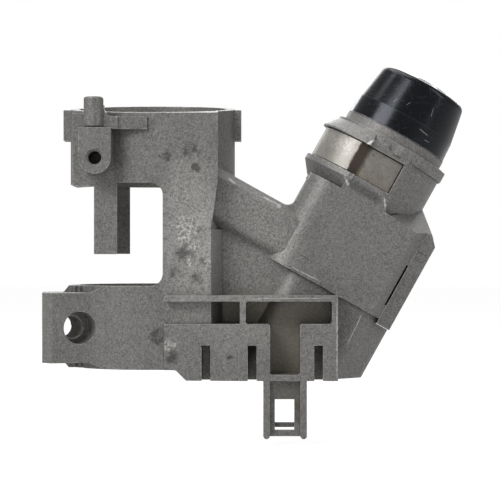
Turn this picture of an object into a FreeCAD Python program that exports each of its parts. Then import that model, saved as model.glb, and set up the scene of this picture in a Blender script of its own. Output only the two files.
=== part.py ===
import FreeCAD, Part
import math
import os

os.makedirs("parts", exist_ok=True)

# Steering column collar. The origin is the bore axis at the foot of the clamp band, +Z up along the bore,
# and the face that a person sees first looks along -Y.
bore_radius = 27.4
bore_relief = 0.4
beyond = 200.0
collar_wall = 2.9
clamp_height = 29.8
ring_foot = 66.6
rim_front = 91.4
rim_rear = 97.9
window_edge = 4.9
window_corner = 4.5
spine_edge_top = 24.35
spine_edge_low = 22.1
spine_narrow_top = 66.0
spine_narrow_low = 51.0
side_lug_reach = 2.4
side_lug_width = 9.0
side_lug_top = 94.0
side_lug_height = 11.2

# Clamp ears: the clamp bolt lies level and is turned in plan, so that its far end leans outwards
bolt_turn = 20.0
bolt_mouth_x = -24.9
bolt_mouth_y = -26.5
bolt_height_z = 14.8
front_ear = 7.6
slit_width = 2.5
rear_ear = 17.4
ear_low = 2.3
ear_high = 27.3
ear_reach = 10.5
ear_side = 40.6
ear_corner = 4.8
blend_left = -24.0
blend_corner = -18.6
blend_right = -9.5
blend_round = 11.0
ramp_left = -21.7
ramp_right = -16.4
rear_ramp = 1.6
bolt_clear_radius = 5.8
bolt_thread_radius = 4.3

# Bracket block beside the collar, with its two legs, pin, arm and screw boss
block_left = -27.3
block_right = -12.0
block_face = 27.5
block_foot = 65.4
leg_left = -19.7
leg_right = -11.5
rear_leg_right = -10.1
leg_foot = 41.1
pin_radius = 3.5
pin_x = -19.4
pin_y = -33.0
pin_foot = 85.8
pin_top = 96.8
arm_end = -0.6
arm_height = 4.5
arm_low = 85.4
arm_face = 33.6
gusset_reach = 8.5
gusset_height = 8.5
gusset_round = 3.5
boss_radius = 5.7
boss_x = -18.8
boss_z = 75.1
boss_face = 37.0
screw_hole_radius = 2.3
screw_hole_depth = 13.0
screw_sink = 0.8

# Lock axis: the point at the foot of the black cap, and how far the axis leans from upright
lock_x = 89.9
lock_z = 84.57
lock_lean = 29.1

# Lock body, measured from that point: across (u), front to back (y) and along the axis (w, down is minus)
neck_radius = 19.7
neck_height = 3.55
visor_top_radius = 21.6
visor_radius = 25.4
visor_edge = 0.6
window_high = 9.25
window_low = 21.2
window_right = 6.85
lip_radius = 25.6
lip_height = 2.0
lip_cone_radius = 22.0
body_top = 27.6
round_radius = 21.7
front_lip = 24.3
window_lip = 21.9
window_bevel = 4.6
tab_left = 0.74
tab_right = 22.2
tab_radius = 23.0
tab_low = 7.6
tab_high = 3.9
tab_face = 22.3

body_left = 21.25
body_front = 23.0
body_back = 20.0
body_round = 9.5
face_right = 22.6
bevel_right = 26.0
bevel_depth = 5.5
body_right = 31.45
flank_depth = 7.5
body_foot = 62.0
shoulder_high = 19.1
shoulder_low = 29.6
facet_left = 11.7
facet_low_left = 27.7
facet_low_right = 28.7
facet_ridge = 2.0

lower_left = 17.0
lower_front = 21.0
lower_back = 19.0
lower_face_left = 8.9
lower_face_right = 20.7
lower_foot_z = -4.0

channel_high = 42.4
channel_low = 61.6
channel_front = 22.0
channel_back = 12.0
channel_bevel = 2.8
channel_bevel_depth = 4.4
channel_edge = 3.1
channel_round = 5.0
channel_fillet = 3.2
web_front = 18.0
web_back = 12.0
rear_rib = 3.0

# T-shaped frame on the front
frame_front = 34.0
frame_left = 5.5
frame_right = 67.0
frame_top = 26.5
frame_foot = -3.7
frame_rib = 2.1
frame_plate = 2.8
frame_root = 18.0
plate_top = 16.4
plate_foot_left = 13.2
plate_curve = 3.7
left_post = 32.3
bar_foot = -1.5
stem_left = 43.0
stem_right = 53.6
stem_corner = 0.9
slot_top = 8.8
slot_width = 3.1
slot_centres = (20.3, 36.65, 60.15)

# Latch leg under the frame
latch_left = 40.6
latch_right = 56.0
latch_foot = -24.2
latch_rail = 2.3
latch_depth = 4.6
latch_floor = 1.8
latch_bar = 3.0
latch_bar_foot = -20.4
latch_bar_top = -18.8
latch_hole_left = 44.7
latch_hole_right = 51.6
latch_hole_top = -10.3
latch_hole_foot = -21.2

# Guard sleeve round the lock
sleeve_radius = 24.15
sleeve_wall = 1.4
sleeve_flat = 20.2
sleeve_flat_end = 6.85
sleeve_bevel_end = 10.36
sleeve_gap = 0.35
seat_gap = 0.05

# Black cap and the coil under it
cap_foot_radius = 19.5
cap_kink_height = 7.0
cap_kink_radius = 19.15
cap_top_radius = 16.7
cap_round = 2.6
cap_height = 21.2
cap_crown_wall = 1.85
cap_side_wall = 1.5
nose_gap = 0.4
spigot_height = 7.5
coil_flange_radius = 12.9
coil_core_wall = 0.9
coil_flange = 1.1
coil_sink = 0.4

# Barrel, plug and key parts
barrel_radius = 13.1
barrel_depth = 26.6
barrel_nose_radius = 9.6
barrel_end_wall = 4.5
fit_gap = 0.1
run_gap = 0.05
ring_radius = 10.0
ring_top = 22.35
ring_opening = 5.9
plug_radius = 7.5
plug_face = 21.6
plug_tail_radius = 5.0
plug_tail = 2.6
key_width = 2.6
key_height = 8.8
key_depth = 32.0
shutter_thickness = 0.8
shutter_drop = 1.1
shutter_reach = 3.55
shutter_pin_radius = 0.25
shutter_pin_u = -2.1
pocket_depth = 4.8
tumbler_count = 7
tumbler_pitch = 3.4
tumbler_thickness = 1.2
tumbler_width = 5.0
tumbler_first = 12.5
tumbler_window = 6.4
clip_thickness = 0.8
clip_radius = 7.2
clip_groove = 0.9
tang_length = 3.0
tang_width = 3.0
latch_pin_radius = 2.0
latch_pin_height = 15.0
latch_pin_reach = 1.3
latch_pin_length = 5.0

# Drive shaft, cam and bolt
shaft_radius = 3.0
head_radius = 8.0
head_height = 4.4
head_bore_radius = 8.8
spring_room_radius = 6.2
spring_room_depth = 7.0
shaft_flat = 2.1
key_turn = 90.0
bolt_travel = 7.0
cam_radius = 8.0
cam_gap = 0.25
cam_height = 5.0
bolt_centre = 52.0
bolt_height = 11.0
bolt_width = 9.0
slide_gap = 0.1
yoke_bar = 3.1
yoke_end_bar = 3.25
tongue_width = 4.0
tongue_neck = 1.8
tongue_head = 1.7
tongue_head_width = 6.4
tip_clear = 0.15
bolt_chamfer = 0.8
spring_seat_radius = 2.4
spring_seat_length = 3.0
bolt_spring_radius = 4.0
bolt_spring_wire = 0.9
bolt_spring_turns = 7
return_spring_wire = 0.7
return_spring_turns = 4
coil_steps = 16

# Side cover of the bolt chamber
cover_high = 33.9
cover_low = 63.9
cover_back = 16.0
cover_gap = 0.15
slot_depth = 0.8
slot_high = 40.2
slot_low = 56.5
cover_pin_radius = 1.5
cover_pin_inset = 3.4
cover_pin_length = 10.0

# Electric switch in the lower body
switch_room_radius = 15.3
switch_top = 66.5
switch_length = 20.0
switch_wall = 1.6
switch_roof = 2.4
rotor_radius = 11.0
rotor_hub_radius = 4.6
rotor_height = 5.0
bridge_length = 7.0
bridge_width = 2.2
bridge_height = 1.2
contact_dome = 0.4
contact_gap = 0.15
contact_count = 6
contact_circle = 5.2
contact_radius = 1.1
base_thickness = 4.0
base_step = 5.0
base_step_radius = 10.5
base_post_radius = 2.5
socket_width = 20.0
socket_depth = 13.0
socket_wall = 1.2
socket_length = 8.5
blade_width = 2.4
blade_thickness = 0.8
blade_length = 6.5
relief_wall = 2.4
relief_flank = 3.8
relief_width = 22.0
relief_high = 70.0
screw_offset = 8.0
screw_drop = 9.0
screw_shank_radius = 1.3
screw_head_radius = 2.4
screw_head_height = 1.8
screw_bite = 1.0
thin_gap = 0.02

outer_radius = bore_radius + collar_wall
lean = math.radians(lock_lean)
lock_place = FreeCAD.Placement(
    FreeCAD.Vector(lock_x, 0, lock_z), FreeCAD.Rotation(FreeCAD.Vector(0, 1, 0), lock_lean)
)


def vec(x, y, z):
    return FreeCAD.Vector(x, y, z)


def cylinder(radius, low, high, x=0.0, y=0.0):
    return Part.makeCylinder(radius, high - low, vec(x, y, low))


def tube(outer, inner, low, high):
    return cylinder(outer, low, high).cut(cylinder(inner, low - 1, high + 1))


def rod(radius, start, direction, length):
    return Part.makeCylinder(radius, length, start, direction)


def block(x0, x1, y0, y1, z0, z1):
    return Part.makeBox(x1 - x0, y1 - y0, z1 - z0, vec(x0, y0, z0))


def corner_arc(before, point, after, radius):
    """The two tangent points and the middle of the arc that rounds one corner."""
    back = (before - point).normalize()
    ahead = (after - point).normalize()
    half = back.getAngle(ahead) / 2
    reach = radius / math.tan(half)
    centre = point + (back + ahead).normalize() * (radius / math.sin(half))
    middle = centre + (point - centre).normalize() * radius
    return point + back * reach, middle, point + ahead * reach


def outline(points):
    """A closed flat face. Each point is (x, y) or (x, y, corner radius)."""
    spots = [vec(p[0], p[1], 0) for p in points]
    edges = []
    ends = []
    for i, p in enumerate(points):
        radius = p[2] if len(p) > 2 else 0
        if radius:
            first, middle, last = corner_arc(spots[i - 1], spots[i], spots[(i + 1) % len(spots)], radius)
            edges.append((i, Part.Arc(first, middle, last).toShape()))
            ends.append((first, last))
        else:
            ends.append((spots[i], spots[i]))
    for i in range(len(spots)):
        start = ends[i][1]
        stop = ends[(i + 1) % len(spots)][0]
        if start.distanceToPoint(stop) > 1e-6:
            edges.append((i + 0.5, Part.LineSegment(start, stop).toShape()))
    edges.sort(key=lambda item: item[0])
    return Part.Face(Part.Wire([edge for _, edge in edges]))


def prism(points, low, high):
    """Points in plan, raised along Z."""
    face = outline(points)
    face.translate(vec(0, 0, low))
    return face.extrude(vec(0, 0, high - low))


def front_prism(points, front, back):
    """Points as (x, z), run front to back along Y."""
    face = outline(points)
    face.rotate(vec(0, 0, 0), vec(1, 0, 0), 90)
    face.translate(vec(0, front, 0))
    return face.extrude(vec(0, back - front, 0))


def side_prism(points, left, right):
    """Points as (y, z), run across along X."""
    face = outline(points)
    face.rotate(vec(0, 0, 0), vec(1, 1, 1), 120)
    face.translate(vec(left, 0, 0))
    return face.extrude(vec(right - left, 0, 0))


def turned(points):
    """Points as (radius, z), turned round Z."""
    face = outline(points)
    face.rotate(vec(0, 0, 0), vec(1, 0, 0), 90)
    return face.revolve(vec(0, 0, 0), vec(0, 0, 1), 360)


def coil(radius, wire, turns, length):
    """A round wire spring round Z, from z = 0 up, in short straight lengths."""
    count = turns * coil_steps
    points = []
    for i in range(count + 1):
        angle = 2 * math.pi * i / coil_steps
        points.append(vec(radius * math.cos(angle), radius * math.sin(angle), length * i / count))
    section = Part.Wire(Part.makeCircle(wire / 2, points[0], points[1] - points[0]))
    return Part.makePolygon(points).makePipeShell([section], True, False, 1)


def fused(first, rest):
    return first.multiFuse(rest).removeSplitter()


def in_lock(shape):
    placed = shape.copy()
    placed.Placement = lock_place.multiply(placed.Placement)
    return placed


def save(name, shape):
    shape.exportStep("parts/" + name + ".step")
    print(name, len(shape.Solids), shape.isValid(), round(shape.Volume, 1))


def collar():
    far = 60.0
    body = cylinder(outer_radius, 0, rim_rear + 5)
    pad = front_prism(
        [
            (0, 0),
            (spine_edge_low, 0),
            (spine_edge_low, spine_narrow_low),
            (spine_edge_top, spine_narrow_top),
            (spine_edge_top, rim_rear + 5),
            (0, rim_rear + 5),
        ],
        -outer_radius,
        -bore_radius / 3,
    )
    body = body.fuse(pad)
    rim = side_prism(
        [
            (-outer_radius, rim_front),
            (outer_radius, rim_rear),
            (far, rim_rear),
            (far, far * 2),
            (-far, far * 2),
            (-far, rim_front),
        ],
        -far,
        far,
    )
    window = front_prism(
        [
            (-far, clamp_height),
            (window_edge, clamp_height, window_corner),
            (window_edge, ring_foot, window_corner),
            (-far, ring_foot),
        ],
        -far,
        far,
    )
    body = body.cut(rim).cut(window)
    lug_end = outer_radius + side_lug_reach
    lugs = block(
        -lug_end, lug_end, -side_lug_width / 2, side_lug_width / 2, side_lug_top - side_lug_height, side_lug_top
    )
    return body.fuse(lugs)


def ear():
    turn = math.radians(bolt_turn)
    deep = vec(-math.sin(turn), math.cos(turn), 0)
    out = vec(-math.cos(turn), -math.sin(turn), 0)
    mouth = vec(bolt_mouth_x, bolt_mouth_y, bolt_height_z)
    length = front_ear + slit_width + rear_ear
    near_corner = mouth + out * ear_reach
    side_corner = vec(-ear_side + 2.2, near_corner.y + ear_corner, 0)
    inner = mouth - out * ear_reach
    body = prism(
        [
            (near_corner.x, near_corner.y, 0.8),
            (side_corner.x, side_corner.y, 1.5),
            (-ear_side, 0),
            (-ear_side, bore_radius),
            (0, bore_radius),
            (0, -bore_radius / 2),
            (inner.x, inner.y),
        ],
        ear_low,
        ear_high,
    )
    beyond = Part.makeBox(80, 60, 80, vec(-40, 0, -40))
    beyond.Placement = FreeCAD.Placement(
        mouth + deep * length, FreeCAD.Rotation(vec(0, 0, 1), bolt_turn)
    ).multiply(beyond.Placement)
    body = body.cut(beyond)
    return body, mouth, deep, length


def ear_blend(mouth):
    """Filled corner between the front ear and the band, with the ramps from the ear's height to the band's."""
    rise = math.tan(math.radians(bolt_turn))
    plan = [
        (blend_left, mouth.y + (blend_left - mouth.x) * rise),
        (blend_corner, mouth.y + (blend_corner - mouth.x) * rise, blend_round),
        (blend_right, -math.sqrt(outer_radius**2 - blend_right**2)),
        (blend_right, -bore_radius / 2),
        (blend_left, -bore_radius / 2),
    ]
    front = [
        (blend_left, ear_low),
        (ramp_left, ear_low),
        (ramp_right, 0),
        (0, 0),
        (0, clamp_height),
        (ramp_right, clamp_height),
        (ramp_left, ear_high),
        (blend_left, ear_high),
    ]
    return prism(plan, 0, clamp_height).common(front_prism(front, -beyond, beyond))


def rear_ramps():
    """Small ramps that lead from the rear ear to the edges of the band."""
    foot = -outer_radius - rear_ramp
    high = front_prism(
        [(foot, ear_high), (-outer_radius + 0.4, clamp_height), (-bore_radius, clamp_height), (-bore_radius, ear_high)],
        -bore_radius / 2,
        bore_radius / 3,
    )
    low = front_prism(
        [(foot, ear_low), (-bore_radius, ear_low), (-bore_radius, 0), (-outer_radius + 0.4, 0)],
        -bore_radius / 2,
        bore_radius / 3,
    )
    return [high, low]


def clamp_cuts(mouth, deep, length):
    front_hole = rod(bolt_clear_radius, mouth - deep * 5, deep, 5 + front_ear + slit_width / 2)
    rear_hole = rod(bolt_thread_radius, mouth, deep, length + 5)
    slit = Part.makeBox(45, slit_width, clamp_height * 2, vec(-28, 0, -clamp_height))
    slit.Placement = FreeCAD.Placement(
        mouth + deep * front_ear, FreeCAD.Rotation(vec(0, 0, 1), bolt_turn)
    ).multiply(slit.Placement)
    return [front_hole, rear_hole, slit]


def bracket():
    parts = []
    parts.append(block(block_left, block_right, -block_face, 0, block_foot, rim_front))
    parts.append(block(leg_left, leg_right, -block_face, -bore_radius / 2, leg_foot, block_foot + 5))
    parts.append(block(leg_left, rear_leg_right, bore_radius / 2, block_face, leg_foot, ring_foot + 5))
    parts.append(block(leg_left, rear_leg_right, bore_radius / 2, block_face, ring_foot, ring_foot + 8))
    pin = cylinder(pin_radius, pin_foot, pin_top, pin_x, pin_y)
    pin = pin.makeFillet(0.9, pin.Edges)
    parts.append(pin)
    boss = front_prism(
        [
            (boss_x - boss_radius, boss_z - boss_radius, boss_radius * 0.99),
            (boss_x + boss_radius, boss_z - boss_radius, boss_radius * 0.99),
            (boss_x + boss_radius, pin_foot),
            (boss_x - boss_radius, pin_foot),
        ],
        -boss_face,
        -bore_radius / 2,
    )
    parts.append(boss)
    arm = prism(
        [(pin_x, -arm_face), (arm_end, -outer_radius - 1.2), (arm_end, -bore_radius - 1), (pin_x, -bore_radius / 2)],
        arm_low,
        arm_low + arm_height,
    )
    parts.append(arm)
    gusset = front_prism(
        [
            (pin_x, arm_low),
            (pin_x + gusset_reach, arm_low),
            (pin_x + gusset_reach, arm_low + arm_height),
            (pin_x + pin_radius, arm_low + arm_height, gusset_round),
            (pin_x + pin_radius, arm_low + gusset_height),
            (pin_x, arm_low + gusset_height),
        ],
        -arm_face,
        -block_face,
    )
    parts.append(gusset)
    return parts


def sleeve_outline(inset):
    """Plan of the guard sleeve: round at the left and the back, with a flat at the front, cut off at the right."""
    radius = sleeve_radius - inset
    flat = -(sleeve_flat - inset)
    right = window_right - sleeve_gap
    bevel = vec(-sleeve_bevel_end, -math.sqrt(radius**2 - sleeve_bevel_end**2), 0)
    rear = vec(right, math.sqrt(radius**2 - right**2), 0)
    flat_left = vec(-sleeve_flat_end, flat, 0)
    flat_right = vec(right, flat, 0)
    edges = [
        Part.LineSegment(flat_right, flat_left).toShape(),
        Part.LineSegment(flat_left, bevel).toShape(),
        Part.Arc(bevel, vec(-radius, 0, 0), rear).toShape(),
        Part.LineSegment(rear, flat_right).toShape(),
    ]
    return Part.Face(Part.Wire(edges))


def sleeve_solid(inset, low, high):
    face = sleeve_outline(inset)
    face.translate(vec(0, 0, low))
    return face.extrude(vec(0, 0, high - low))


def body_outline():
    return [
        (-body_left, -body_front, body_round),
        (face_right, -body_front, 0.8),
        (bevel_right, -body_front + bevel_depth, 0.5),
        (body_right, -body_front + flank_depth, 0.8),
        (body_right, body_back - 5, 2.5),
        (face_right, body_back, 4.0),
        (-body_left, body_back, body_round),
    ]


def lower_outline():
    return [
        (-lower_left, -lower_front + 9, 7.0),
        (-lower_face_left, -lower_front, 7.0),
        (lower_face_right, -lower_front, 5.0),
        (body_right, -9.0, 6.0),
        (body_right, 9.0, 5.0),
        (lower_face_right, lower_back, 5.0),
        (-lower_face_left, lower_back, 5.0),
        (-lower_left, lower_back - 8, 4.0),
    ]


def shoulder_facet(side):
    """Solid above the slanted plane that runs from the shoulder ridge down to the face, side 1 at the front."""
    if side > 0:
        low = vec(facet_left, -body_front, -facet_low_left)
        end = vec(face_right, -body_front, -facet_low_right)
        ridge = vec(round_radius, -facet_ridge, -shoulder_high)
    else:
        low = vec(facet_left, body_back, -facet_low_left)
        end = vec(face_right, body_back, -facet_low_right)
        ridge = vec(round_radius, facet_ridge, -shoulder_high)
    normal = (end - low).cross(ridge - low)
    if normal.z < 0:
        normal = normal * -1
    normal.normalize()
    solid = Part.makeBox(80, 80, 40, vec(-40, -40, 0))
    solid.Placement = FreeCAD.Placement(low, FreeCAD.Rotation(vec(0, 0, 1), normal))
    return solid


def lock_body():
    """The casting round the lock, in the lock's own frame."""
    parts = []
    parts.append(cylinder(neck_radius, -window_low, 0))
    parts.append(cylinder(round_radius, -shoulder_low, -neck_height))
    left_half = block(-40, window_right, -40, 40, -60, 0)
    visor_reach = block(-40, -7.2, -40, 40, -60, 0).fuse(block(-40, window_right, 0, 40, -60, 0))
    visor = turned(
        [
            (0, -neck_height),
            (visor_top_radius - 0.5, -neck_height),
            (visor_top_radius, -neck_height - 0.75),
            (visor_radius, -window_high + visor_edge),
            (visor_radius, -window_high),
            (0, -window_high),
        ]
    ).common(visor_reach)
    parts.append(visor)
    lip = turned(
        [
            (0, -window_low),
            (lip_radius, -window_low),
            (lip_radius, -window_low - lip_height),
            (lip_cone_radius, -body_top - 0.4),
            (0, -body_top - 0.4),
        ]
    ).common(visor_reach)
    parts.append(lip)
    front_wedge = side_prism(
        [
            (-front_lip, -window_low),
            (-front_lip, -window_low - 0.7),
            (-body_front, -body_top),
            (0, -body_top),
            (0, -window_low),
        ],
        -9.0,
        window_right + 1.5,
    )
    parts.append(front_wedge)
    brow = side_prism(
        [
            (-window_lip, -window_high),
            (-window_lip, -window_high + 1.6),
            (-neck_radius + 0.4, -neck_height),
            (0, -neck_height),
            (0, -window_high),
        ],
        -8.5,
        window_right + 1.2,
    )
    parts.append(brow)
    frame_side = prism(
        [
            (window_right - 2, -window_lip),
            (window_right + 1.0, -window_lip),
            (window_right + window_bevel, -17.4),
            (window_right, -12),
            (window_right - 2, -12),
        ],
        -body_top,
        -window_high + 1.5,
    )
    parts.append(frame_side)
    tab = prism(
        [
            (tab_left, -tab_face + 0.6),
            (tab_left + 3, -tab_face),
            (tab_right - 9, -tab_face + 3.2),
            (tab_right, -10),
            (tab_right, 4),
            (tab_left, 4),
        ],
        -tab_low,
        -tab_high,
    ).common(cylinder(tab_radius, -20, 0))
    parts.append(tab)
    upper = prism(body_outline(), -body_foot, -shoulder_high)
    shoulder = front_prism(
        [
            (-60, -body_top),
            (11.5, -body_top),
            (round_radius, -shoulder_high + 0.05),
            (round_radius, 40),
            (-60, 40),
        ],
        -60,
        60,
    )
    slope_run = (body_right - round_radius) / 3
    slope_rise = (shoulder_low - shoulder_high) / 3
    slope = front_prism(
        [
            (round_radius - slope_run, -shoulder_high + slope_rise),
            (body_right + slope_run, -shoulder_low - slope_rise),
            (body_right + slope_run, beyond),
            (round_radius - slope_run, beyond),
        ],
        -60,
        60,
    )
    upper = upper.cut(shoulder).cut(slope)
    parts.append(upper.cut([shoulder_facet(1), shoulder_facet(-1)]))
    parts.append(prism(lower_outline(), -130, -body_foot + 4))
    body = fused(parts[0], parts[1:])
    window = prism(
        [(-40, -40), (window_right, -40), (window_right, 40), (-40, 40)], -window_low, -window_high
    )
    body = body.cut(window)
    core = sleeve_solid(sleeve_wall + seat_gap, -window_low, -window_high)
    core = core.fuse(block(0, window_right, -12, 12, -window_low, -window_high))
    return body.fuse(core)


def bolt_channel():
    """The web between lock and collar that guides the bolt, in the lock's own frame."""
    length = 60.0
    section = [
        (-channel_front, -channel_high - channel_bevel, 0.8),
        (-channel_front, -channel_low + channel_edge, channel_round),
        (-web_front, -channel_low, channel_round),
        (-web_front, -channel_low - 4),
        (0, -channel_low - 4),
        (channel_back, -channel_low, 2.0),
        (channel_back - 2, -channel_high, 2.0),
        (-channel_front + channel_bevel_depth, -channel_high, 0.8),
    ]
    side = -body_left + 1
    corner = block(
        -body_left - channel_fillet,
        side,
        -channel_front + channel_bevel_depth,
        channel_back - 3,
        -channel_high - 1,
        -channel_high + channel_fillet,
    )
    corner = corner.cut(
        rod(
            channel_fillet,
            vec(-body_left - channel_fillet, -beyond, -channel_high + channel_fillet),
            vec(0, 1, 0),
            2 * beyond,
        )
    )
    return side_prism(section, -length, 0).fuse(corner)


def frame_on_front():
    """The T-shaped frame, its posts and its latch leg."""
    parts = []
    back = -frame_root
    front = -frame_front
    top_bar = front_prism(
        [
            (frame_left, frame_top - frame_rib, frame_rib * 0.49),
            (frame_right, frame_top - frame_rib),
            (frame_right, frame_top, 0.5),
            (frame_left, frame_top, frame_rib * 0.49),
        ],
        front,
        back,
    )
    parts.append(top_bar)
    plate = front_prism(
        [
            (plate_foot_left, frame_foot, 0.4),
            (frame_right, frame_foot, 0.6),
            (frame_right, plate_top),
            (frame_left, plate_top),
            (frame_left, 0),
            (plate_foot_left - plate_curve, 0, 2.0),
        ],
        front,
        front + frame_plate,
    )
    slope = prism(
        [(frame_left - 9, front), (left_post - 0.5, front), (left_post - 0.5, front + 0.3), (frame_left - 9, -outer_radius)],
        frame_foot - 1,
        plate_top + 0.2,
    )
    plate = plate.cut(slope)
    parts.append(plate)
    parts.append(
        front_prism(
            [
                (plate_foot_left, frame_foot, 0.4),
                (left_post + frame_rib, frame_foot),
                (left_post + frame_rib, plate_top),
                (frame_left, plate_top),
                (frame_left, 0),
                (plate_foot_left - plate_curve, 0, 2.0),
            ],
            front + frame_plate,
            back,
        )
    )
    for left in (left_post, frame_right - frame_rib):
        parts.append(block(left, left + frame_rib, front, back, frame_foot, frame_top))
    for left in (stem_left - frame_rib, stem_right):
        parts.append(block(left, left + frame_rib, front, back, frame_foot, plate_top))
    parts.append(block(stem_left - frame_rib, stem_right + frame_rib, front, back, frame_foot, bar_foot))
    rails = []
    for left in (latch_left, latch_right - latch_rail):
        rails.append(block(left, left + latch_rail, front, front + latch_depth, latch_foot + 1, frame_foot + 1))
        foot = rod(latch_rail / 2, vec(left + latch_rail / 2, front, latch_foot + latch_rail / 2), vec(0, 1, 0), latch_depth)
        rails.append(foot)
    parts += rails
    floor = block(
        latch_left,
        latch_right,
        front + latch_depth - latch_floor,
        front + latch_depth,
        latch_foot + 0.8,
        frame_foot + 1,
    )
    parts.append(floor)
    bar_front = front + latch_depth
    parts.append(
        block(latch_left, latch_right, bar_front - 0.5, bar_front + latch_bar, latch_bar_foot, latch_bar_top)
    )
    parts.append(block(left_post, frame_right, front, back, plate_top - frame_rib, frame_top))
    solid = fused(parts[0], parts[1:])
    return [solid.cut(front_prism(t_opening(), front - 1, back))]


def t_opening():
    """Outline of the T-shaped opening, with its rounded corners."""
    left = left_post + frame_rib
    right = frame_right - frame_rib
    high = frame_top - frame_rib
    return [
        (left, plate_top, stem_corner),
        (stem_left, plate_top, stem_corner),
        (stem_left, bar_foot, stem_corner),
        (stem_right, bar_foot, stem_corner),
        (stem_right, plate_top, stem_corner),
        (right, plate_top, stem_corner),
        (right, high, stem_corner),
        (left, high, stem_corner),
    ]


def frame_cuts():
    front = -frame_front
    cuts = []
    for centre in slot_centres:
        deep = frame_plate + 0.1 if centre > left_post else 8.0
        cuts.append(
            block(centre - slot_width / 2, centre + slot_width / 2, front - 1, front + deep, frame_foot - 1, slot_top)
        )
    cuts.append(
        block(
            latch_hole_left,
            latch_hole_right,
            front - 1,
            front + latch_depth + 1,
            latch_hole_foot,
            latch_hole_top,
        )
    )
    return cuts


cam_start = math.radians(90 + key_turn / 2)
cam_offset = bolt_travel / (2 * math.sin(math.radians(key_turn / 2)))
cam_u = cam_offset * math.cos(cam_start)
cam_y = cam_offset * math.sin(cam_start)
yoke_window_left = cam_u - cam_radius - cam_gap
yoke_window_right = cam_u + cam_radius + cam_gap
yoke_window_front = cam_y - cam_radius - cam_gap
yoke_window_back = cam_offset + cam_radius + cam_gap
yoke_left = yoke_window_left - yoke_end_bar
yoke_right = yoke_window_right + yoke_end_bar
yoke_front = yoke_window_front - yoke_bar
yoke_back = yoke_window_back + yoke_bar
yoke_high = -bolt_centre + cam_height / 2
yoke_low = -bolt_centre - cam_height / 2
spring_y = (yoke_window_front + yoke_window_back) / 2
bolt_tail = yoke_left - slide_gap
head_low = barrel_depth + plug_tail + head_height
chamber_right = bevel_right
spigot_radius = cap_kink_radius - cap_side_wall - seat_gap
cap_ceiling = cap_height - cap_crown_wall
nose_top = cap_ceiling - nose_gap
screw_w = -switch_top - screw_drop


def lock_cuts():
    """All that is hollow in the lock body, in the lock's own frame."""
    bore = barrel_radius + fit_gap
    cuts = []
    cuts.append(cylinder(bore, -barrel_depth, 20))
    cuts.append(cylinder(head_bore_radius, -head_low, 0))
    cuts.append(cylinder(spring_room_radius, -head_low - spring_room_depth, -head_low + 1))
    cuts.append(cylinder(shaft_radius + run_gap, -switch_top - 5, 0))
    cuts.append(
        block(
            yoke_left - 1.0,
            chamber_right + 10,
            yoke_front - slide_gap,
            yoke_back + slide_gap,
            yoke_low - slide_gap,
            yoke_high + slide_gap,
        )
    )
    half = bolt_height / 2 + slide_gap
    wide = bolt_width / 2 + slide_gap
    cuts.append(
        block(-60, bolt_tail + bolt_travel + 0.5, -wide, wide, -bolt_centre - half, -bolt_centre + half)
    )
    cuts.append(
        rod(bolt_spring_radius + bolt_spring_wire / 2 + 0.4, vec(yoke_right, spring_y, -bolt_centre), vec(1, 0, 0), 60)
    )
    cuts.append(cylinder(switch_room_radius, -140, -switch_top))
    cuts.append(
        prism(
            [
                (switch_room_radius + relief_wall, -relief_width / 2, 1.5),
                (body_right - relief_flank, -relief_width / 2 + 3, 1.5),
                (body_right - relief_flank, relief_width / 2 - 3, 1.5),
                (switch_room_radius + relief_wall, relief_width / 2, 1.5),
            ],
            -140,
            -relief_high,
        )
    )
    pocket = rod(
        latch_pin_radius + fit_gap, vec(0, 0, -latch_pin_height), vec(0, 1, 0), barrel_radius + latch_pin_reach + 0.3
    )
    cuts.append(pocket)
    for across in (-screw_offset, screw_offset):
        cuts.append(rod(screw_shank_radius + run_gap, vec(across, 8, screw_w), vec(0, 1, 0), 30))
        cuts.append(
            rod(
                screw_head_radius + fit_gap,
                vec(across, lower_back - screw_head_height, screw_w),
                vec(0, 1, 0),
                30,
            )
        )
    for height in cover_pin_heights():
        cuts.append(
            rod(cover_pin_radius + seat_gap, vec(body_right - cover_pin_length, 0, height), vec(1, 0, 0), 20)
        )
    cuts.append(
        block(bevel_right, 60, -60, cover_back + cover_gap, -cover_low - cover_gap, -cover_high + cover_gap)
    )
    cuts.append(block(bevel_right - slot_depth, bevel_right + 1, -60, yoke_front - 3, -slot_low, -slot_high))
    return cuts


def cover_pin_heights():
    return (-cover_high - cover_pin_inset, -cover_low + cover_pin_inset)


def web():
    """Plate that joins spine and lower body under the channel, with the sloped flank of the spine."""
    plate = front_prism(
        [(20, 0), (46, 0), (70, 46), (24, 62)],
        -web_front,
        -web_back,
    )
    flank = prism(
        [
            (18, -outer_radius),
            (spine_edge_low, -outer_radius),
            (spine_edge_low + 3.7, -web_front - 1.5),
            (spine_edge_low + 3.7, -web_back),
            (18, -web_back),
        ],
        0,
        spine_narrow_low - 1,
    )
    rear = front_prism(
        [(20, 0), (20 + rear_rib, 0), (60, 40), (57, 44), (24, 14), (24, 62), (20, 62)],
        -web_back - 1,
        web_back,
    )
    return [plate, flank, rear]


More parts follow.
